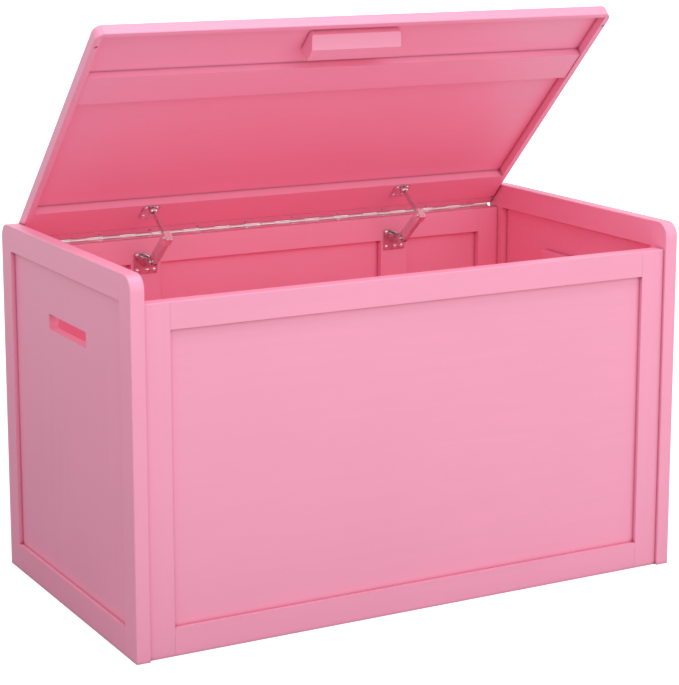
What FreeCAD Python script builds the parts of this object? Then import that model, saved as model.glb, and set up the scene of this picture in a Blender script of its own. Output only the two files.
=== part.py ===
import FreeCAD, Part
import math
import os

# Wooden toy box: four framed walls, a bottom board, and a hinged lid that stands open at 45 degrees
# on two folding stays. X runs along the length, Y to the rear, Z up; the origin is the middle of
# the footprint, on the floor. All sizes are millimetres.

# Overall sizes
box_length = 762.0
box_depth = 419.0
end_height = 457.0
wall_height = 423.0

# Framed walls: stiles and rails grooved round a thin panel
board = 18.0
member_width = 33.0
bottom_rail_height = 34.5
outer_recess = 5.5
panel_thickness = 3.0
groove_depth = 6.0
panel_play = 0.5
wall_inset = 4.5
corner_radius = 18.0
edge_radius = 1.2
muntin_width = 43.0
support_x = 190.0

# Carrying slots in the end panels, with a grip block behind each
slot_length = 121.0
slot_height = 19.5
slot_middle_z = 354.3
slot_corner = 2.0
grip_border = 13.5
grip_edge = 1.5

# Bottom board and the cleats under it
floor_thickness = 9.0
floor_play = 0.5
cleat_width = 15.0
cleat_height = 15.0
cleat_end_gap = 12.0

# Cam fittings at the four corners
cam_heights = (90.0, 290.0)
cam_radius = 7.5
cam_depth = 12.0
cam_from_end = 18.0
cam_bolt_radius = 3.0
cam_bolt_play = 0.2
cam_thread_radius = 2.5
cam_thread_length = 11.0

# Lid
lid_thickness = 15.0
lid_skin = 3.0
lid_side_gap = 1.0
lid_side_rail = 8.5
lid_front_rail = 6.5
lid_rabbet = 3.0
lid_corner_radius = 12.0
lid_rear_setback = 0.5
cross_rail_from_front = 82.0
cross_rail_width = 48.0
cross_rail_raise = 1.5
batten_width = 63.0
lid_open_angle = 45.0

# Guide block under the lid's front
block_length = 126.0
block_middle_x = -10.0
block_from_front = 22.5
block_front_height = 7.3
block_chamfer = 13.5
block_flat = 19.0
block_end_radius = 3.0

# Continuous hinge
knuckle_radius = 1.8
hinge_pin_radius = 0.8
hinge_running_clearance = 0.05
hinge_leaf = 0.7
hinge_leaf_width = 14.0
hinge_behind_wall = 1.0
hinge_end_gap = 6.0
knuckle_count = 31
knuckle_gap = 0.3
knuckle_notch = 0.35
hinge_screw_count = 10
hinge_screw_head = 2.6
hinge_screw_radius = 1.4
hinge_screw_cone = 1.6
hinge_screw_length = 10.0

# Folding lid stays: lower channel arm on the wall, upper bar on the lid. The arms and the lines
# from the hinge to their pivots make a parallelogram, so the lower arm turns with the lid.
lower_pivot_out = 23.2
lower_pivot_down = 27.8
upper_pivot_along = 60.0
upper_pivot_below = 6.5
pin_radius = 2.0
pin_running_clearance = 0.05
pin_head_radius = 3.6
pin_head = 1.2
elbow_clearance = 0.1
channel_width = 7.5
channel_height = 13.0
channel_wall = 1.0
channel_past_elbow = 6.5
cap_wall = 1.0
cap_length = 14.0
bar_thickness = 2.6
bar_width = 7.2
bar_eye_radius = 4.5
washer_radius = 4.0
washer_play = 0.35
ear_thickness = 1.4
ear_play = 0.4
ear_radius = 5.5

# Stay brackets and their screws
bracket_plate = 1.5
wall_plate_left = 17.0
wall_plate_right = 15.5
wall_plate_top = 19.0
wall_plate_height = 27.5
wall_plate_cut = 14.0
wall_ear_root_low = 9.5
wall_screw_spots = ((-13.0, 21.2), (-13.0, 41.8), (1.0, 41.8), (10.8, 41.8))
lid_plate_side = 24.0
lid_plate_back = 26.0
lid_plate_front = 3.0
lid_screw_spots = ((-7.6, 1.2), (7.6, 1.2), (-7.6, 17.5), (7.6, 17.5))
lid_plate_corner = 4.5
screw_head_radius = 3.0
screw_head_height = 1.8
screw_radius = 1.5
screw_in_wood = 8.0

# Screws that hold the lid's side rails to its ends, sunk below the surface
rail_screw_from_front = 22.5
rail_screw_from_rear = 14.0
rail_screw_head = 2.4
rail_screw_sink = 1.0
rail_screw_radius = 1.5
rail_screw_length = 9.0

# Places that follow from the sizes above
half_length = box_length / 2
half_depth = box_depth / 2
inner_half_length = half_length - board
wall_face = half_depth - wall_inset
inner_half_depth = wall_face - board
panel_inner = outer_recess + panel_thickness
floor_top = bottom_rail_height
cleat_top = floor_top - floor_thickness

hinge_y = wall_face + hinge_behind_wall
hinge_z = wall_height + knuckle_radius
lid_bottom = hinge_z + knuckle_radius
lid_frame_top = lid_bottom + lid_thickness - lid_skin
lid_top = lid_bottom + lid_thickness
lid_front = -wall_face
lid_rear = wall_face - lid_rear_setback
lid_half_width = inner_half_length - lid_side_gap

os.makedirs("parts", exist_ok=True)
nodes = {}


def point(x, y, z):
    return FreeCAD.Vector(x, y, z)


def box(x0, x1, y0, y1, z0, z1):
    return Part.makeBox(x1 - x0, y1 - y0, z1 - z0, point(x0, y0, z0))


def rod(radius, start, direction, length):
    return Part.makeCylinder(radius, length, start, direction)


def plate_yz(points, x0, x1):
    """A flat plate whose outline is given in Y and Z, from x0 to x1."""
    corners = [point(x0, y, z) for y, z in points]
    face = Part.Face(Part.makePolygon(corners + corners[:1]))
    return face.extrude(point(x1 - x0, 0, 0))


def soften(shape, radius, chosen):
    """Rounds the edges that the test picks by their bounding box."""
    edges = [edge for edge in shape.Edges if chosen(edge.BoundBox)]
    return shape.makeFillet(radius, edges)


def near(value, target):
    return abs(value - target) < 0.01


def solids(shapes):
    return Part.makeCompound(list(shapes))


def open_lid(shape):
    """Turns a piece from the closed lid's place to its rest place."""
    turned = shape.copy()
    turned.rotate(point(0, hinge_y, hinge_z), point(-1, 0, 0), lid_open_angle)
    return turned


# Each wall has its own place: s runs along the wall, t from its outer face inwards.
def front_place(s, t):
    return s, -wall_face + t


def rear_place(s, t):
    return s, wall_face - t


def left_place(s, t):
    return -half_length + t, s


def right_place(s, t):
    return half_length - t, s


def slab(place, s0, s1, t0, t1, z0, z1):
    xa, ya = place(s0, t0)
    xb, yb = place(s1, t1)
    return box(min(xa, xb), max(xa, xb), min(ya, yb), max(ya, yb), z0, z1)


def framed_wall(place, half_span, height):
    """Two stiles, two rails between them and the panel in their groove."""
    inner = half_span - member_width
    rail_low = height - member_width
    groove = slab(place, -inner - groove_depth, inner + groove_depth, outer_recess, panel_inner,
                  bottom_rail_height - groove_depth, rail_low + groove_depth)
    reach = groove_depth - panel_play
    pieces = {
        "low_stile": slab(place, -half_span, -inner, 0, board, 0, height).cut(groove),
        "high_stile": slab(place, inner, half_span, 0, board, 0, height).cut(groove),
        "top_rail": slab(place, -inner, inner, 0, board, rail_low, height).cut(groove),
        "bottom_rail": slab(place, -inner, inner, 0, board, 0, bottom_rail_height).cut(groove),
        "panel": slab(place, -inner - reach, inner + reach, outer_recess, panel_inner,
                      bottom_rail_height - reach, rail_low + reach),
    }
    return pieces


def top_edges(height):
    """Picks the long edges at the top of a wall, along X or Y."""
    return lambda b: near(b.ZMin, height) and near(b.ZMax, height) and max(b.XLength, b.YLength) > board + 1


# End walls: they stand on the floor, and their top corners are rounded
def end_stile(piece, outer_y):
    """Rounds the stile's top corner, then the edge of its outer side and top."""
    rounded = soften(piece, corner_radius, lambda b: near(b.ZMin, end_height) and near(b.ZMax, end_height)
                     and near(b.YMin, outer_y) and near(b.YMax, outer_y))
    upright = end_height - corner_radius

    def rim(b):
        side = near(b.YMin, outer_y) and near(b.YMax, outer_y) and b.ZLength > upright - 1
        arc = near(b.ZLength, corner_radius) and near(b.YLength, corner_radius)
        top = near(b.ZMin, end_height) and b.YLength > 1 and near(b.XLength, 0)
        return side or arc or top

    return soften(rounded, edge_radius, rim)


slot_half = slot_length / 2
slot_cutter = soften(
    box(-half_length - 1, half_length + 1, -slot_half, slot_half,
        slot_middle_z - slot_height / 2, slot_middle_z + slot_height / 2),
    slot_corner, lambda b: b.XLength > box_length)

for name, place in (("left", left_place), ("right", right_place)):
    wall = framed_wall(place, half_depth, end_height)
    nodes[name + "_end_front_stile"] = end_stile(wall["low_stile"], -half_depth)
    nodes[name + "_end_rear_stile"] = end_stile(wall["high_stile"], half_depth)
    nodes[name + "_end_top_rail"] = soften(wall["top_rail"], edge_radius, top_edges(end_height))
    nodes[name + "_end_bottom_rail"] = wall["bottom_rail"]
    nodes[name + "_end_panel"] = wall["panel"].cut(slot_cutter)
    block_reach = slot_half + grip_border
    inner_x = abs(place(0, board)[0])
    grip_block = slab(place, -block_reach, block_reach, panel_inner, board,
                      slot_middle_z - slot_height / 2 - grip_border, slot_middle_z + slot_height / 2 + grip_border)
    grip_block = soften(grip_block, grip_edge, lambda b: near(abs(b.XMin), inner_x) and near(abs(b.XMax), inner_x))
    nodes[name + "_grip_block"] = grip_block.cut(slot_cutter)

# Front and rear walls: lower than the ends and set in from their edges
for name, place in (("front", front_place), ("rear", rear_place)):
    wall = framed_wall(place, inner_half_length, wall_height)
    nodes[name + "_left_stile"] = soften(wall["low_stile"], edge_radius, top_edges(wall_height))
    nodes[name + "_right_stile"] = soften(wall["high_stile"], edge_radius, top_edges(wall_height))
    nodes[name + "_top_rail"] = soften(wall["top_rail"], edge_radius, top_edges(wall_height))
    nodes[name + "_bottom_rail"] = wall["bottom_rail"]
    nodes[name + "_panel"] = wall["panel"]

# Muntins stiffen the rear panel on its inner side, where the stays are screwed
for name, middle in (("left", -support_x), ("right", support_x)):
    nodes["rear_" + name + "_muntin"] = slab(
        rear_place, middle - muntin_width / 2, middle + muntin_width / 2, panel_inner, board,
        bottom_rail_height, wall_height - member_width)

# Bottom board on two cleats
nodes["bottom_board"] = box(-inner_half_length + floor_play, inner_half_length - floor_play,
                            -inner_half_depth + floor_play, inner_half_depth - floor_play,
                            cleat_top, floor_top)
for name, place in (("front", front_place), ("rear", rear_place)):
    reach = inner_half_length - cleat_end_gap
    nodes[name + "_cleat"] = slab(place, -reach, reach, board, board + cleat_width,
                                  cleat_top - cleat_height, cleat_top)

# Cam fittings: a disc in the wall's stile draws a bolt that is screwed into the end's stile
cams = []
bolts = []
for side in (-1, 1):
    for name, place in (("front", front_place), ("rear", rear_place)):
        end_name = ("left" if side < 0 else "right") + "_end_" + name + "_stile"
        stile_name = name + ("_left" if side < 0 else "_right") + "_stile"
        for height in cam_heights:
            cam_x = side * (inner_half_length - cam_from_end)
            inner_x, inner_y = place(cam_x, board)
            middle_y = place(cam_x, board / 2)[1]
            into_wall = point(0, 1 if inner_y > 0 else -1, 0)
            outwards = point(side, 0, 0)
            disc = rod(cam_radius, point(inner_x, inner_y, height), into_wall, cam_depth)
            start = point(cam_x, middle_y, height)
            bore = rod(cam_bolt_radius + cam_bolt_play, start, outwards, cam_from_end)
            shank = rod(cam_bolt_radius, start, outwards, cam_from_end)
            thread = rod(cam_thread_radius, point(side * inner_half_length, middle_y, height),
                         outwards, cam_thread_length)
            cams.append(disc.cut(bore))
            bolts.append(shank.fuse(thread).removeSplitter())
            nodes[stile_name] = nodes[stile_name].cut(disc).cut(bore)
            nodes[end_name] = nodes[end_name].cut(thread)
nodes["cam_locks"] = solids(cams)
nodes["cam_bolts"] = solids(bolts)

# Lid, made flat in its closed place
lid_outline = soften(
    box(-lid_half_width, lid_half_width, lid_front, lid_rear, lid_bottom, lid_top),
    lid_corner_radius, lambda b: near(b.ZLength, lid_thickness) and near(b.YMin, lid_front))
lid_outline = soften(
    lid_outline, edge_radius,
    lambda b: near(b.ZLength, 0) and not near(b.YMin, lid_rear))
lid_panel = soften(
    box(-lid_half_width + lid_rabbet, lid_half_width - lid_rabbet, lid_front + lid_rabbet, lid_rear,
        lid_frame_top, lid_top),
    lid_corner_radius - lid_rabbet, lambda b: near(b.ZLength, lid_skin) and b.YMax < 0)
rail_inner = lid_half_width - lid_side_rail
front_rail = box(-rail_inner, rail_inner, lid_front, lid_front + lid_front_rail, lid_bottom, lid_top)
lid_pieces = {
    "lid_top_panel": lid_panel.common(lid_outline),
    "lid_front_rail": front_rail.common(lid_outline).cut(lid_panel),
    "lid_left_rail": box(-lid_half_width, -rail_inner, lid_front, lid_rear, lid_bottom,
                         lid_top).common(lid_outline).cut(lid_panel),
    "lid_right_rail": box(rail_inner, lid_half_width, lid_front, lid_rear, lid_bottom,
                          lid_top).common(lid_outline).cut(lid_panel),
    "lid_rear_batten": box(-rail_inner, rail_inner, lid_rear - batten_width, lid_rear, lid_bottom,
                           lid_frame_top),
}
cross_front = lid_front + cross_rail_from_front
lid_pieces["lid_cross_rail"] = box(-rail_inner, rail_inner, cross_front, cross_front + cross_rail_width,
                                   lid_bottom + cross_rail_raise, lid_frame_top)

# Guide block: a chamfered bar that drops just inside the front wall as the lid closes
block_front = lid_front + block_from_front
block_low = lid_frame_top - block_front_height - block_chamfer
guide_block = plate_yz(
    ((block_front, lid_frame_top), (block_front, lid_frame_top - block_front_height),
     (block_front + block_chamfer, block_low), (block_front + block_chamfer + block_flat, block_low),
     (block_front + block_chamfer + block_flat, lid_frame_top)),
    block_middle_x - block_length / 2, block_middle_x + block_length / 2)
lid_pieces["lid_guide_block"] = soften(
    guide_block, block_end_radius, lambda b: near(b.YMin, block_front) and near(b.YMax, block_front)
    and near(b.ZLength, block_front_height))

# Side rail screws, sunk in their holes
rail_screws = []
for side, rail in ((-1, "lid_left_rail"), (1, "lid_right_rail")):
    for y in (lid_front + rail_screw_from_front, lid_rear - rail_screw_from_rear):
        x = side * (lid_half_width - lid_side_rail / 2)
        hole = rod(rail_screw_head, point(x, y, lid_bottom), point(0, 0, 1), 2 * rail_screw_sink)
        head = rod(rail_screw_head, point(x, y, lid_bottom + rail_screw_sink), point(0, 0, 1), rail_screw_sink)
        shank = rod(rail_screw_radius, point(x, y, lid_bottom + 2 * rail_screw_sink), point(0, 0, 1),
                    rail_screw_length)
        rail_screws.append(head.fuse(shank).removeSplitter())
        lid_pieces[rail] = lid_pieces[rail].cut(hole).cut(shank)
lid_pieces["lid_rail_screws"] = solids(rail_screws)

# Continuous hinge: knuckles alternate between the leaf on the wall and the leaf on the lid
hinge_half = inner_half_length - hinge_end_gap
knuckle_pitch = 2 * hinge_half / knuckle_count
notch_y = hinge_y - knuckle_radius - knuckle_notch
leaf_front = hinge_y - hinge_leaf_width
screw_y = (leaf_front + notch_y) / 2
screw_pitch = 2 * hinge_half / hinge_screw_count
screw_xs = [-hinge_half + screw_pitch * (i + 0.5) for i in range(hinge_screw_count)]


def hinge_half_leaf(z0, z1, first, bore_radius):
    """One leaf with every second knuckle, flat in the closed place."""
    shape = box(-hinge_half, hinge_half, leaf_front, notch_y, z0, z1)
    for index in range(first, knuckle_count, 2):
        x0 = -hinge_half + index * knuckle_pitch + knuckle_gap / 2
        x1 = -hinge_half + (index + 1) * knuckle_pitch - knuckle_gap / 2
        tab = box(x0, x1, notch_y, hinge_y, z0, z1)
        tube = rod(knuckle_radius, point(x0, hinge_y, hinge_z), point(1, 0, 0), x1 - x0)
        shape = shape.fuse([tab, tube])
    bore = rod(bore_radius, point(-half_length, hinge_y, hinge_z), point(1, 0, 0), box_length)
    return shape.removeSplitter().cut(bore)


def flat_screw(x, y, z, up):
    """A countersunk screw whose flat head lies at z; up is the way it goes into the wood."""
    axis = point(0, 0, up)
    cone = Part.makeCone(hinge_screw_head, hinge_screw_radius, hinge_screw_cone, point(x, y, z), axis)
    shank = rod(hinge_screw_radius, point(x, y, z + up * hinge_screw_cone), axis, hinge_screw_length)
    return cone.fuse(shank).removeSplitter()


wall_screws = [flat_screw(x, screw_y, wall_height + hinge_leaf, -1) for x in screw_xs]
lid_screws = [flat_screw(x, screw_y, lid_bottom - hinge_leaf, 1) for x in screw_xs]
wall_leaf = hinge_half_leaf(wall_height, wall_height + hinge_leaf, 0, hinge_pin_radius)
lid_leaf = hinge_half_leaf(lid_bottom - hinge_leaf, lid_bottom, 1,
                           hinge_pin_radius + hinge_running_clearance)
nodes["hinge_wall_leaf"] = wall_leaf.cut(wall_screws)
nodes["hinge_pin"] = rod(hinge_pin_radius, point(-hinge_half, hinge_y, hinge_z), point(1, 0, 0), 2 * hinge_half)
nodes["hinge_wall_screws"] = solids(wall_screws)
for name in ("rear_top_rail", "rear_left_stile", "rear_right_stile"):
    nodes[name] = nodes[name].cut(wall_screws)
lid_pieces["hinge_lid_leaf"] = lid_leaf.cut(lid_screws)
lid_pieces["hinge_lid_screws"] = solids(lid_screws)
lid_pieces["lid_rear_batten"] = lid_pieces["lid_rear_batten"].cut(lid_screws)

# Folding stays. Both are the same hand; the arms move in the plane x = support.
lower_pivot = (inner_half_depth - lower_pivot_out, wall_height - lower_pivot_down)
flat_upper_pivot = (hinge_y - upper_pivot_along, lid_bottom - upper_pivot_below)


def rest_place(y, z):
    """Where a point of the closed lid lies when the lid is at rest, open."""
    angle = math.radians(lid_open_angle)
    along = hinge_y - y
    above = z - hinge_z
    return (hinge_y - along * math.cos(angle) + above * math.sin(angle),
            hinge_z + along * math.sin(angle) + above * math.cos(angle))


upper_pivot = rest_place(*flat_upper_pivot)
elbow = (lower_pivot[0] + upper_pivot[0] - hinge_y, lower_pivot[1] + upper_pivot[1] - hinge_z)
lower_arm_length = math.hypot(upper_pivot[0] - hinge_y, upper_pivot[1] - hinge_z)
upper_arm_length = math.hypot(lower_pivot[0] - hinge_y, lower_pivot[1] - hinge_z)
lower_arm_turn = math.degrees(math.atan2(elbow[1] - lower_pivot[1], elbow[0] - lower_pivot[0]))
upper_arm_turn = math.degrees(math.atan2(upper_pivot[1] - elbow[1], upper_pivot[0] - elbow[0]))
print("pivots", [round(v, 3) for v in lower_pivot + elbow + upper_pivot])


def lay_arm(shape, x, start, turn):
    """Puts a piece that was made along +Y from the origin on its pivot, turned about X."""
    placed = shape.copy()
    placed.rotate(point(0, 0, 0), point(1, 0, 0), turn)
    placed.translate(point(x, start[0], start[1]))
    return placed


def cross_rod(radius, x0, x1, y, z=0.0):
    return rod(radius, point(x0, y, z), point(1, 0, 0), x1 - x0)


def pin_with_heads(half_grip, y=0.0, z=0.0):
    shank = cross_rod(pin_radius, -half_grip, half_grip, y, z)
    heads = [cross_rod(pin_head_radius, half_grip, half_grip + pin_head, y, z),
             cross_rod(pin_head_radius, -half_grip - pin_head, -half_grip, y, z)]
    return shank.fuse(heads).removeSplitter()


half_channel = channel_width / 2
channel_inner = half_channel - channel_wall
channel_half_height = channel_height / 2
channel_end = lower_arm_length + channel_past_elbow


def channel_arm():
    """The lower arm: a folded channel, open on the side where the upper bar folds in."""
    outer = box(-half_channel, half_channel, 0, channel_end, -channel_half_height, channel_half_height)
    outer = outer.fuse(cross_rod(channel_half_height, -half_channel, half_channel, 0)).removeSplitter()
    hollow = box(-channel_inner, channel_inner, -channel_height, channel_end + 1,
                 -channel_height, channel_half_height - channel_wall)
    root_room = box(-channel_inner, channel_inner, -channel_height, channel_half_height,
                    -channel_height, channel_height)
    pivot_hole = cross_rod(pin_radius + pin_running_clearance, -channel_width, channel_width, 0)
    elbow_hole = cross_rod(pin_radius, -channel_width, channel_width, lower_arm_length)
    return outer.cut([hollow, root_room, pivot_hole, elbow_hole])


def arm_cap():
    """The sleeve round the elbow end of the channel, open on the same side."""
    start = channel_end + cap_wall - cap_length
    outer = box(-half_channel - cap_wall, half_channel + cap_wall, start, channel_end + cap_wall,
                -channel_half_height, channel_half_height + cap_wall)
    inner = box(-half_channel, half_channel, start - 1, channel_end, -channel_height, channel_half_height)
    return outer.cut([inner, cross_rod(pin_radius, -channel_width, channel_width, lower_arm_length)])


def elbow_washers():
    pair = []
    gap = bar_thickness / 2 + washer_play
    for x0, x1 in ((-channel_inner, -gap), (gap, channel_inner)):
        ring = cross_rod(washer_radius, x0, x1, lower_arm_length)
        pair.append(ring.cut(cross_rod(pin_radius, x0, x1, lower_arm_length)))
    return solids(pair)


def upper_bar():
    """The upper arm, from the elbow at the origin to the lid's pivot."""
    half = bar_thickness / 2
    bar = box(-half, half, 0, upper_arm_length, -bar_width / 2, bar_width / 2)
    eyes = [cross_rod(bar_eye_radius, -half, half, 0),
            cross_rod(bar_eye_radius, -half, half, upper_arm_length)]
    shape = bar.fuse(eyes).removeSplitter()
    return shape.cut([
        cross_rod(pin_radius + elbow_clearance, -channel_width, channel_width, 0),
        cross_rod(pin_radius + pin_running_clearance, -channel_width, channel_width, upper_arm_length)])


def dome_screw(spot, into):
    """A round-headed screw; its head stands on the plate at spot, and it goes into the wood."""
    ball_radius = (screw_head_radius ** 2 + screw_head_height ** 2) / (2 * screw_head_height)
    centre = spot + into * (ball_radius - screw_head_height)
    bound = rod(screw_head_radius, spot - into * screw_head_height, into, screw_head_height)
    head = Part.makeSphere(ball_radius, centre).common(bound)
    shank = rod(screw_radius, spot, into, bracket_plate + screw_in_wood)
    return head.fuse(shank).removeSplitter()


# Wall bracket: a cut-off plate with two ears that hold the lower pivot
wall_ear_gap = half_channel + ear_play
wall_ear_outer = wall_ear_gap + ear_thickness
plate_top = wall_height - wall_plate_top
plate_low = plate_top - wall_plate_height
plate_face = inner_half_depth - bracket_plate


def wall_plate():
    corners = [(-wall_plate_left, plate_low), (wall_plate_right, plate_low),
               (wall_plate_right, plate_top - wall_plate_cut), (wall_ear_outer, plate_top - ear_radius),
               (wall_ear_outer - wall_plate_cut / 2, plate_top), (-wall_plate_left, plate_top)]
    outline = [point(x, plate_face, z) for x, z in corners]
    return Part.Face(Part.makePolygon(outline + outline[:1])).extrude(point(0, bracket_plate, 0))


def wall_ear(x0):
    x1 = x0 + ear_thickness
    web = plate_yz(((inner_half_depth, plate_top - ear_radius), (inner_half_depth, plate_low + wall_ear_root_low),
                    (lower_pivot[0], lower_pivot[1] - ear_radius), (lower_pivot[0], lower_pivot[1] + ear_radius)),
                   x0, x1)
    nose = cross_rod(ear_radius, x0, x1, lower_pivot[0], lower_pivot[1])
    return web.fuse(nose)


def wall_bracket():
    ears = [wall_ear(-wall_ear_outer), wall_ear(wall_ear_gap)]
    shape = wall_plate().fuse(ears).removeSplitter()
    return shape.cut(cross_rod(pin_radius, -box_depth, box_depth, lower_pivot[0], lower_pivot[1]))


# Lid bracket: a square plate with two ears that hold the upper pivot, in the closed place
lid_ear_gap = bar_thickness / 2 + ear_play
lid_ear_outer = lid_ear_gap + ear_thickness
lid_plate_low = lid_bottom - bracket_plate


def lid_bracket():
    y0 = flat_upper_pivot[0] - lid_plate_front
    y1 = flat_upper_pivot[0] + lid_plate_back - lid_plate_front
    half = lid_plate_side / 2
    plate = soften(box(-half, half, y0, y1, lid_plate_low, lid_bottom), lid_plate_corner,
                   lambda b: near(b.ZLength, bracket_plate))
    shape = plate
    for x0 in (-lid_ear_outer, lid_ear_gap):
        x1 = x0 + ear_thickness
        shape = shape.fuse([
            box(x0, x1, flat_upper_pivot[0] - bar_eye_radius + lid_ear_gap, flat_upper_pivot[0] + bar_eye_radius,
                flat_upper_pivot[1], lid_plate_low),
            cross_rod(bar_eye_radius, x0, x1, flat_upper_pivot[0], flat_upper_pivot[1])])
    return shape.removeSplitter().cut(
        cross_rod(pin_radius, -box_depth, box_depth, flat_upper_pivot[0], flat_upper_pivot[1]))


lower_pins = []
upper_pins = []
wall_bracket_screws = []
lid_bracket_screws = []
for name, x in (("left", -support_x), ("right", support_x)):
    shift = point(x, 0, 0)
    screws = [dome_screw(point(x + dx, plate_face, wall_height - down), point(0, 1, 0))
              for dx, down in wall_screw_spots]
    bracket = wall_bracket()
    bracket.translate(shift)
    nodes[name + "_wall_bracket"] = bracket.cut(screws)
    for wood in ("rear_top_rail", "rear_" + name + "_muntin"):
        nodes[wood] = nodes[wood].cut(screws)
    wall_bracket_screws += screws
    pin = pin_with_heads(wall_ear_outer, lower_pivot[0], lower_pivot[1])
    pin.translate(shift)
    lower_pins.append(pin)

    nodes[name + "_lower_arm"] = lay_arm(channel_arm(), x, lower_pivot, lower_arm_turn)
    nodes[name + "_arm_cap"] = lay_arm(arm_cap(), x, lower_pivot, lower_arm_turn)
    nodes[name + "_elbow_washers"] = lay_arm(elbow_washers(), x, lower_pivot, lower_arm_turn)
    nodes[name + "_elbow_pin"] = lay_arm(pin_with_heads(half_channel + cap_wall, lower_arm_length), x,
                                         lower_pivot, lower_arm_turn)
    nodes[name + "_upper_arm"] = lay_arm(upper_bar(), x, elbow, upper_arm_turn)

    screws = [dome_screw(point(x + dx, flat_upper_pivot[0] + back, lid_plate_low), point(0, 0, 1))
              for dx, back in lid_screw_spots]
    bracket = lid_bracket()
    bracket.translate(shift)
    lid_pieces[name + "_lid_bracket"] = bracket.cut(screws)
    lid_pieces["lid_rear_batten"] = lid_pieces["lid_rear_batten"].cut(screws)
    lid_bracket_screws += screws
    pin = pin_with_heads(lid_ear_outer, flat_upper_pivot[0], flat_upper_pivot[1])
    pin.translate(shift)
    upper_pins.append(pin)

nodes["lower_pivot_pins"] = solids(lower_pins)
nodes["wall_bracket_screws"] = solids(wall_bracket_screws)
lid_pieces["upper_pivot_pins"] = solids(upper_pins)
lid_pieces["lid_bracket_screws"] = solids(lid_bracket_screws)

for name, shape in lid_pieces.items():
    nodes[name] = open_lid(shape)

for name, shape in nodes.items():
    shape.exportStep("parts/" + name + ".step")
    print(name, len(shape.Solids), "valid" if shape.isValid() else "NOT VALID", round(shape.Volume, 1))
print(len(nodes), "nodes")
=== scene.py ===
import math
import bpy
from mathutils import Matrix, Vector


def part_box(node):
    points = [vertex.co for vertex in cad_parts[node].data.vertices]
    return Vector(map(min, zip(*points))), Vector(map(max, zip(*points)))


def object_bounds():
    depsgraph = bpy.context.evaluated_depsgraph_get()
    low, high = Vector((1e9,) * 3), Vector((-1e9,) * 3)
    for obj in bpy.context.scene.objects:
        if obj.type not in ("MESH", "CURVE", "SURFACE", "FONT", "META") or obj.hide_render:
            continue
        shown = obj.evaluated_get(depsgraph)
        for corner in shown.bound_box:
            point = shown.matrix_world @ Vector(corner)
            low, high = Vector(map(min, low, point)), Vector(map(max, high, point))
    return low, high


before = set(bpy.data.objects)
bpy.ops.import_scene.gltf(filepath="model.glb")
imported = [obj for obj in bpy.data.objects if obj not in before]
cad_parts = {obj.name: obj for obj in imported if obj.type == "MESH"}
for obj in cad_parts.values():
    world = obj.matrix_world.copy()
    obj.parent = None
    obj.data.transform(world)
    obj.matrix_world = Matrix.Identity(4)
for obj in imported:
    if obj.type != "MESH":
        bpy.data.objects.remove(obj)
cad_low, cad_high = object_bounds()
scene = bpy.context.scene


# Studio: a pale floor that fades into a white backdrop, so that the chest stands on white with
# only a breath of shadow. The floor is clear from below, and under the chest, where light comes up
# through it to the underside. Large soft lamps give the satin paint its even, bright faces.
floor_size = 40.0
floor_drop = 0.0006
floor_glow = 0.95
# The floor's colour is painted darker round a spot behind and left of the chest. This is painted
# shade, so that the floor bounces less light onto the chest's lower faces.
shaded_spot = (-0.6, 0.7, 0)
shaded_reach = (0.6, 2.4)
shaded_floor = (0.28, 0.28, 0.28, 1)
open_floor = (0.88, 0.88, 0.88, 1)
window_margin = 0.006
air_light = 0.78
air_glow = 0.5


def feed(tree, socket, value):
    if isinstance(value, bpy.types.NodeSocket):
        tree.links.new(value, socket)
    else:
        socket.default_value = value


def calculate(tree, operation, *terms):
    node = tree.nodes.new("ShaderNodeMath")
    node.operation = operation
    for socket, term in zip(node.inputs, terms):
        feed(tree, socket, term)
    return node.outputs["Value"]


def measure(tree, operation, *vectors, result="Value"):
    node = tree.nodes.new("ShaderNodeVectorMath")
    node.operation = operation
    for socket, vector in zip(node.inputs, vectors):
        feed(tree, socket, vector)
    return node.outputs[result]


def remap(tree, value, source, target=(0.0, 1.0)):
    node = tree.nodes.new("ShaderNodeMapRange")
    tree.links.new(value, node.inputs["Value"])
    feed(tree, node.inputs["From Min"], source[0])
    feed(tree, node.inputs["From Max"], source[1])
    feed(tree, node.inputs["To Min"], target[0])
    feed(tree, node.inputs["To Max"], target[1])
    return node.outputs["Result"]


def mix(tree, factor, first, second, kind="RGBA"):
    node = tree.nodes.new("ShaderNodeMix")
    node.data_type = kind
    feed(tree, node.inputs["Factor"], factor)
    feed(tree, node.inputs["A"], first)
    feed(tree, node.inputs["B"], second)
    return node.outputs["Result"]


def new_material(name):
    material = bpy.data.materials.new(name)
    material.use_nodes = True
    return material, material.node_tree, material.node_tree.nodes["Principled BSDF"]


def under_the_chest(tree, place):
    axes = tree.nodes.new("ShaderNodeSeparateXYZ")
    tree.links.new(place, axes.inputs["Vector"])
    within_length, within_depth = (
        calculate(tree, "LESS_THAN", calculate(tree, "ABSOLUTE", axes.outputs[axis]), reach)
        for axis, reach in (("X", cad_high[0] - window_margin), ("Y", -cad_low[1] - window_margin)))
    return calculate(tree, "MULTIPLY", within_length, within_depth)


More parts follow.
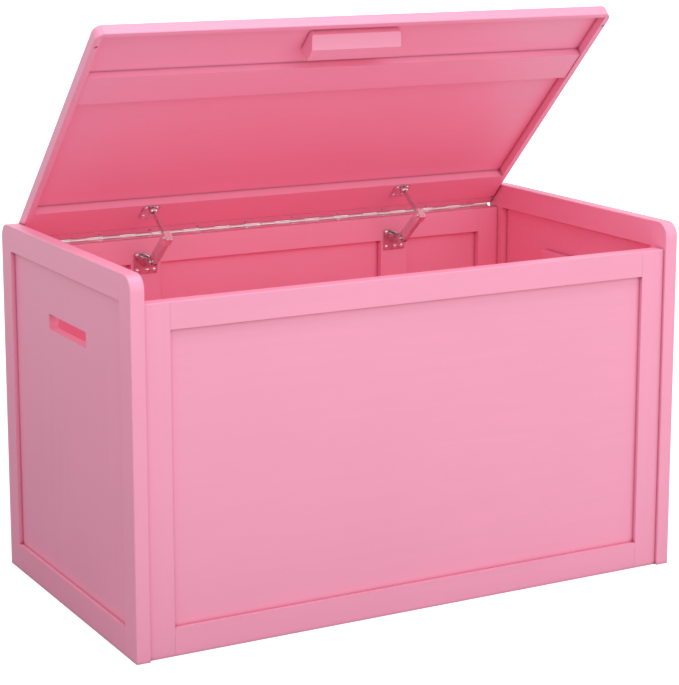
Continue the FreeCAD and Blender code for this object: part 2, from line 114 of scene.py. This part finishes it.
def studio_white():
    material, tree, shader = new_material("studio_white")
    shader.inputs["Roughness"].default_value = 0.9
    shader.inputs["Specular IOR Level"].default_value = 0.1
    place = tree.nodes.new("ShaderNodeTexCoord").outputs["Object"]
    # Painted shade: the floor is dark near shaded_spot and pale further away.
    away = measure(tree, "DISTANCE", place, shaded_spot)
    tone = mix(tree, remap(tree, away, shaded_reach), shaded_floor, open_floor)
    tree.links.new(tone, shader.inputs["Base Color"])
    seen = tree.nodes.new("ShaderNodeLightPath").outputs["Is Camera Ray"]
    shader.inputs["Emission Color"].default_value = (1, 1, 1, 1)
    tree.links.new(calculate(tree, "MULTIPLY", seen, floor_glow), shader.inputs["Emission Strength"])
    from_below = tree.nodes.new("ShaderNodeNewGeometry").outputs["Backfacing"]
    see_through = calculate(tree, "MAXIMUM", under_the_chest(tree, place), from_below)
    clear = tree.nodes.new("ShaderNodeBsdfTransparent")
    one_sided = tree.nodes.new("ShaderNodeMixShader")
    tree.links.new(see_through, one_sided.inputs["Fac"])
    tree.links.new(shader.outputs["BSDF"], one_sided.inputs[1])
    tree.links.new(clear.outputs["BSDF"], one_sided.inputs[2])
    tree.links.new(one_sided.outputs["Shader"], tree.nodes["Material Output"].inputs["Surface"])
    return material


def soft_lamp(name, place, target, size, power, tint=(1, 1, 1)):
    lamp = bpy.data.lights.new(name, "AREA")
    lamp.shape = "RECTANGLE"
    lamp.size, lamp.size_y = size
    lamp.energy = power
    lamp.color = tint
    holder = bpy.data.objects.new(name, lamp)
    scene.collection.objects.link(holder)
    holder.location = place
    holder.rotation_euler = (Vector(target) - Vector(place)).to_track_quat("-Z", "Y").to_euler()


def studio_air():
    air = bpy.data.worlds.new("studio_air")
    air.use_nodes = True
    tree = air.node_tree
    background = tree.nodes["Background"]
    background.inputs["Color"].default_value = (1, 1, 1, 1)
    seen = tree.nodes.new("ShaderNodeLightPath").outputs["Is Camera Ray"]
    strength = calculate(tree, "MULTIPLY_ADD", seen, air_glow, air_light)
    tree.links.new(strength, background.inputs["Strength"])
    return air


bpy.ops.object.select_all(action="DESELECT")
bpy.ops.mesh.primitive_plane_add(size=floor_size, location=(0, 0, -floor_drop))
studio_floor = bpy.context.active_object
studio_floor.name = "studio_floor"
studio_floor.data.materials.append(studio_white())
scene.world = studio_air()
soft_lamp("key_lamp", (0.9, -3.6, 1.6), (0, 0, 0.4), (3.0, 2.0), 21)
soft_lamp("side_lamp", (-3.6, -1.0, 2.2), (0, 0, 0.3), (2.0, 2.0), 4.5, (1.0, 0.68, 0.78))
soft_lamp("top_lamp", (0.1, -0.9, 3.4), (0, 0, 0.3), (2.6, 2.0), 36)
scene.cycles.diffuse_bounces = 12
scene.cycles.max_bounces = 16
scene.view_settings.view_transform = "Standard"
scene.view_settings.look = "None"

# Camera: at a child's height in front of the chest and to its left, looking a little down on it
# with a long lens. A small shift frames it.
camera_place = (-1.2799, -2.3420, 0.9039)
camera_yaw = 0.5002
camera_pitch = -0.1904
camera_lens = 110.657
camera_shift = -0.1
camera_data = bpy.data.cameras.new("camera")
camera_data.sensor_width = 36.0
camera_data.lens = camera_lens
camera_data.shift_y = camera_shift
camera_data.clip_end = 60
camera = bpy.data.objects.new("camera", camera_data)
camera.location = camera_place
camera.rotation_euler = (math.pi / 2 + camera_pitch, 0, -camera_yaw)
scene.collection.objects.link(camera)
scene.camera = camera

# End walls: each is a frame of two full-height stiles and two rails of 18 mm board round a thin
# panel, with a slot to carry the chest by. They are sprayed in satin pink, like all the wood: the
# grain shows faintly, the edges are painted paler as a painted highlight, and the recesses are
# painted deeper pink as painted shade.
pink = (0.985, 0.375, 0.55)
# A paler pink, painted along the rounded edges as a painted highlight.
highlight_pink = (0.99, 0.50, 0.65)
# A deep pink, painted into the recesses as painted shade.
shade_pink = (0.40, 0.03, 0.09)
along_y = (95.0, 5.0, 95.0)
along_z = (95.0, 95.0, 5.0)
board_grain = 0.7
sheet_grain = 0.35
board_edge = 0.0009
# How strongly the painted edge highlight shows.
edge_highlight = 0.45
# Reach and strength of the painted shade in the recesses.
recess_width = 0.006
recess_shade_strength = 0.85


def new_group(name, given, results):
    group = bpy.data.node_groups.new(name, "ShaderNodeTree")
    for direction, sockets in (("INPUT", given), ("OUTPUT", results)):
        for label, kind in sockets.items():
            group.interface.new_socket(name=label, in_out=direction, socket_type="NodeSocket" + kind)
    return group, group.nodes.new("NodeGroupInput").outputs, group.nodes.new("NodeGroupOutput").inputs


def noise(tree, place, scale, detail):
    node = tree.nodes.new("ShaderNodeTexNoise")
    node.inputs["Scale"].default_value = scale
    node.inputs["Detail"].default_value = detail
    tree.links.new(place, node.inputs["Vector"])
    return node


def rounded_edges(tree, radius, samples):
    node = tree.nodes.new("ShaderNodeBevel")
    node.samples = samples
    feed(tree, node.inputs["Radius"], radius)
    return node.outputs["Normal"]


def relief(tree, height, normal, strength, distance):
    node = tree.nodes.new("ShaderNodeBump")
    node.inputs["Distance"].default_value = distance
    feed(tree, node.inputs["Strength"], strength)
    tree.links.new(height, node.inputs["Height"])
    tree.links.new(normal, node.inputs["Normal"])
    return node.outputs["Normal"]


finish_outputs = {"Color": "Color", "Roughness": "Float", "Normal": "Vector"}


def paint_group():
    group, given, result = new_group(
        "satin_paint",
        {"Paint": "Color", "Highlight Paint": "Color", "Recess Shade Paint": "Color",
         "Grain Stretch": "Vector", "Grain Depth": "Float", "Edge Radius": "Float"}, finish_outputs)
    place = group.nodes.new("ShaderNodeTexCoord").outputs["Object"]
    along_board = measure(group, "MULTIPLY", place, given["Grain Stretch"], result="Vector")
    fibres = noise(group, along_board, 1.0, 7.0)
    fibres.inputs["Roughness"].default_value = 0.62
    fibres.inputs["Distortion"].default_value = 0.35
    grain = fibres.outputs["Fac"]
    clouds = noise(group, place, 5.0, 3.0).outputs["Fac"]
    skin = noise(group, place, 620.0, 2.0).outputs["Fac"]
    specks = group.nodes.new("ShaderNodeTexVoronoi")
    specks.inputs["Scale"].default_value = 95.0
    group.links.new(place, specks.inputs["Vector"])
    nibs = remap(group, specks.outputs["Distance"], (0.035, 0.06), (1.0, 0.0))

    # The edge mask, from the rounded-edge normal, carries the painted highlight and a smoother gloss.
    rounded = rounded_edges(group, given["Edge Radius"], 2)
    flat = group.nodes.new("ShaderNodeNewGeometry").outputs["Normal"]
    edge = remap(group, measure(group, "DOT_PRODUCT", rounded, flat), (0.995, 0.86))
    # Ambient occlusion finds the recesses, which are painted deeper pink as painted shade.
    corner = group.nodes.new("ShaderNodeAmbientOcclusion")
    corner.samples = 4
    corner.inputs["Distance"].default_value = recess_width
    recess_shade = remap(group, corner.outputs["AO"], (0.82, 0.34), (0.0, recess_shade_strength))

    tone = calculate(group, "MULTIPLY", remap(group, grain, (0.3, 0.75), (0.985, 1.012)),
                     remap(group, clouds, (0.3, 0.7), (0.985, 1.01)))
    toned = group.nodes.new("ShaderNodeVectorMath")
    toned.operation = "SCALE"
    group.links.new(given["Paint"], toned.inputs[0])
    group.links.new(tone, toned.inputs["Scale"])
    # The edges are mixed towards the paler pink: a painted highlight.
    highlit_paint = mix(group, calculate(group, "MULTIPLY", edge, edge_highlight), toned.outputs["Vector"],
               given["Highlight Paint"])
    # The recesses are mixed towards the deep pink: painted shade.
    group.links.new(mix(group, recess_shade, highlit_paint, given["Recess Shade Paint"]), result["Color"])

    gloss = remap(group, clouds, (0.3, 0.7), (0.36, 0.46))
    group.links.new(calculate(group, "MULTIPLY_ADD", edge, -0.08, gloss), result["Roughness"])

    sprayed = calculate(group, "MULTIPLY_ADD", grain, given["Grain Depth"], skin)
    height = calculate(group, "MULTIPLY_ADD", nibs, 0.6, sprayed)
    group.links.new(relief(group, height, rounded, 0.22, 0.00012), result["Normal"])
    return group


satin_paint = paint_group()


def coat_of_paint(tree, stretch, depth, radius):
    coat = tree.nodes.new("ShaderNodeGroup")
    coat.node_tree = satin_paint
    coat.inputs["Paint"].default_value = (*pink, 1)
    # The paler paint is the painted highlight on the edges.
    coat.inputs["Highlight Paint"].default_value = (*highlight_pink, 1)
    # The deep paint is the painted shade in the recesses.
    coat.inputs["Recess Shade Paint"].default_value = (*shade_pink, 1)
    coat.inputs["Grain Stretch"].default_value = stretch
    coat.inputs["Grain Depth"].default_value = depth
    coat.inputs["Edge Radius"].default_value = radius
    return coat


def cover(tree, shader, group):
    tree.links.new(group.outputs["Color"], shader.inputs["Base Color"])
    tree.links.new(group.outputs["Roughness"], shader.inputs["Roughness"])
    tree.links.new(group.outputs["Normal"], shader.inputs["Normal"])


def painted(name, stretch, grain):
    material, tree, shader = new_material(name)
    shader.inputs["Coat Weight"].default_value = 0.2
    shader.inputs["Coat Roughness"].default_value = 0.28
    shader.inputs["Specular IOR Level"].default_value = 0.5
    cover(tree, shader, coat_of_paint(tree, stretch, grain, board_edge))
    return material


def finish_nodes(material, *names):
    for name in names:
        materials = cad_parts[name].data.materials
        materials.clear()
        materials.append(material)


end_upright = painted("end_stile_paint", along_z, board_grain)
end_rail = painted("end_rail_paint", along_y, board_grain)
end_sheet = painted("end_panel_paint", along_z, sheet_grain)
for side in ("left", "right"):
    finish_nodes(end_upright, side + "_end_front_stile", side + "_end_rear_stile")
    finish_nodes(end_rail, side + "_end_top_rail", side + "_end_bottom_rail", side + "_grip_block")
    finish_nodes(end_sheet, side + "_end_panel")

# Front and rear walls: the same framing of painted board, lower than the ends. The rear one has
# two muntins behind its panel, which stiffen it where the lid's stays pull.
along_x = (5.0, 95.0, 95.0)
wall_upright = painted("wall_stile_paint", along_z, board_grain)
wall_rail = painted("wall_rail_paint", along_x, board_grain)
wall_sheet = painted("wall_panel_paint", along_x, sheet_grain)
for wall in ("front", "rear"):
    finish_nodes(wall_upright, wall + "_left_stile", wall + "_right_stile")
    finish_nodes(wall_rail, wall + "_top_rail", wall + "_bottom_rail")
    finish_nodes(wall_sheet, wall + "_panel")
finish_nodes(wall_upright, "rear_left_muntin", "rear_right_muntin")

# Bottom: a thin painted board that lies on two square cleats, which are fixed along the front and
# rear walls inside the chest.
bottom_paint = painted("bottom_paint", along_x, sheet_grain)
finish_nodes(bottom_paint, "bottom_board", "front_cleat", "rear_cleat")

# Lid: a thin panel on a light frame, with a cross rail, a wide batten for the hinge and a guide
# block near the front. It is painted as the walls are.
along_slope = (95.0, 7.0, 7.0)
lid_across = painted("lid_rail_paint", along_x, board_grain)
lid_side = painted("lid_side_paint", along_slope, board_grain)
lid_sheet = painted("lid_panel_paint", along_x, sheet_grain)
finish_nodes(lid_across, "lid_front_rail", "lid_cross_rail", "lid_rear_batten", "lid_guide_block")
finish_nodes(lid_side, "lid_left_rail", "lid_right_rail")
finish_nodes(lid_sheet, "lid_top_panel")

# Hinge: a piano hinge of bright plated steel, screwed to the rear wall and to the lid's batten. Its
# flat leaves took a coat of the chest's paint, and its rolled knuckles, which are the part of it
# within a couple of millimetres of the pin, are left bare and buffed.
bare_reach = 0.0021
leaf_grain = 0.1
leaf_edge = 0.0003
plating_edge = 0.0003


def plating_group():
    group, given, result = new_group(
        "worn_plating",
        {"Metal": "Color", "Dull Metal": "Color", "Scratch Stretch": "Vector",
         "Scratch Depth": "Float", "Smoothest": "Float", "Roughest": "Float"}, finish_outputs)
    place = group.nodes.new("ShaderNodeTexCoord").outputs["Object"]
    along_roll = measure(group, "MULTIPLY", place, given["Scratch Stretch"], result="Vector")
    scratches = noise(group, along_roll, 1.0, 5.0).outputs["Fac"]
    clouding = remap(group, noise(group, place, 130.0, 4.0).outputs["Fac"], (0.35, 0.7))
    group.links.new(mix(group, clouding, given["Metal"], given["Dull Metal"]), result["Color"])
    rough = remap(group, scratches, (0.3, 0.7), (given["Smoothest"], given["Roughest"]))
    group.links.new(rough, result["Roughness"])
    rounded = rounded_edges(group, plating_edge, 6)
    scored = relief(group, scratches, rounded, given["Scratch Depth"], 0.00005)
    group.links.new(scored, result["Normal"])
    return group


worn_plating = plating_group()


def plated(name, metal, dull, stretch, depth, smoothest, roughest):
    material, tree, shader = new_material(name)
    shader.inputs["Metallic"].default_value = 1.0
    plating = tree.nodes.new("ShaderNodeGroup")
    plating.name = "plating"
    plating.node_tree = worn_plating
    plating.inputs["Metal"].default_value = (*metal, 1)
    plating.inputs["Dull Metal"].default_value = (*dull, 1)
    plating.inputs["Scratch Stretch"].default_value = stretch
    plating.inputs["Scratch Depth"].default_value = depth
    plating.inputs["Smoothest"].default_value = smoothest
    plating.inputs["Roughest"].default_value = roughest
    cover(tree, shader, plating)
    return material


def paint_the_leaves(material, axis):
    tree = material.node_tree
    shader = tree.nodes["Principled BSDF"]
    metal = tree.nodes["plating"]
    paint = coat_of_paint(tree, along_x, leaf_grain, leaf_edge)
    place = tree.nodes.new("ShaderNodeTexCoord").outputs["Object"]
    offset = measure(tree, "SUBTRACT", place, axis, result="Vector")
    across = measure(tree, "MULTIPLY", offset, (0, 1, 1), result="Vector")
    barrel = remap(tree, measure(tree, "LENGTH", across), (bare_reach, bare_reach * 1.1), (1.0, 0.0))
    colour = mix(tree, barrel, paint.outputs["Color"], metal.outputs["Color"])
    roughness = mix(tree, barrel, paint.outputs["Roughness"], metal.outputs["Roughness"], "FLOAT")
    tree.links.new(colour, shader.inputs["Base Color"])
    tree.links.new(roughness, shader.inputs["Roughness"])
    tree.links.new(barrel, shader.inputs["Metallic"])


pin_low, pin_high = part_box("hinge_pin")
hinge_axis = (0, (pin_low[1] + pin_high[1]) / 2, (pin_low[2] + pin_high[2]) / 2)
hinge_plate = plated(
    "hinge_plating", (0.97, 0.97, 0.97), (0.90, 0.90, 0.91), (12.0, 500.0, 500.0), 0.03, 0.42, 0.55)
paint_the_leaves(hinge_plate, hinge_axis)
finish_nodes(hinge_plate, "hinge_wall_leaf", "hinge_lid_leaf", "hinge_pin")

# Lid stays: a folded steel channel and a flat bar, pinned together at the elbow, between a bracket
# on the rear wall and one under the lid. They are zinc plated, and the elbow's pin and the cap round
# the channel's end are brighter.
stay_plate = plated(
    "stay_plating", (0.82, 0.80, 0.81), (0.68, 0.67, 0.68), (200.0, 90.0, 90.0), 0.12, 0.14, 0.28)
cap_plate = plated(
    "cap_plating", (0.95, 0.94, 0.94), (0.84, 0.83, 0.83), (300.0, 300.0, 300.0), 0.15, 0.20, 0.34)
for side in ("left", "right"):
    finish_nodes(stay_plate, side + "_wall_bracket", side + "_lower_arm", side + "_upper_arm",
                 side + "_lid_bracket", side + "_elbow_washers")
    finish_nodes(cap_plate, side + "_arm_cap", side + "_elbow_pin")
finish_nodes(stay_plate, "lower_pivot_pins", "upper_pivot_pins")

# Screws: steel with bright plating. Countersunk ones fix the hinge, round-headed ones the brackets,
# and those of the lid's side rails are sunk in their holes.
screw_plate = plated(
    "screw_plating", (0.93, 0.93, 0.94), (0.80, 0.80, 0.81), (300.0, 300.0, 300.0), 0.15, 0.10, 0.22)
finish_nodes(screw_plate, "hinge_wall_screws", "hinge_lid_screws", "lid_rail_screws",
             "wall_bracket_screws", "lid_bracket_screws")

# Cam locks and bolts: cast zinc discs let into the stiles of the front and rear walls. Each draws
# in a bolt that is screwed into an end wall's stile, and so holds the corner together.
cast_zinc = plated(
    "cast_zinc", (0.62, 0.63, 0.65), (0.48, 0.49, 0.51), (500.0, 500.0, 500.0), 0.3, 0.34, 0.55)
finish_nodes(cast_zinc, "cam_locks", "cam_bolts")
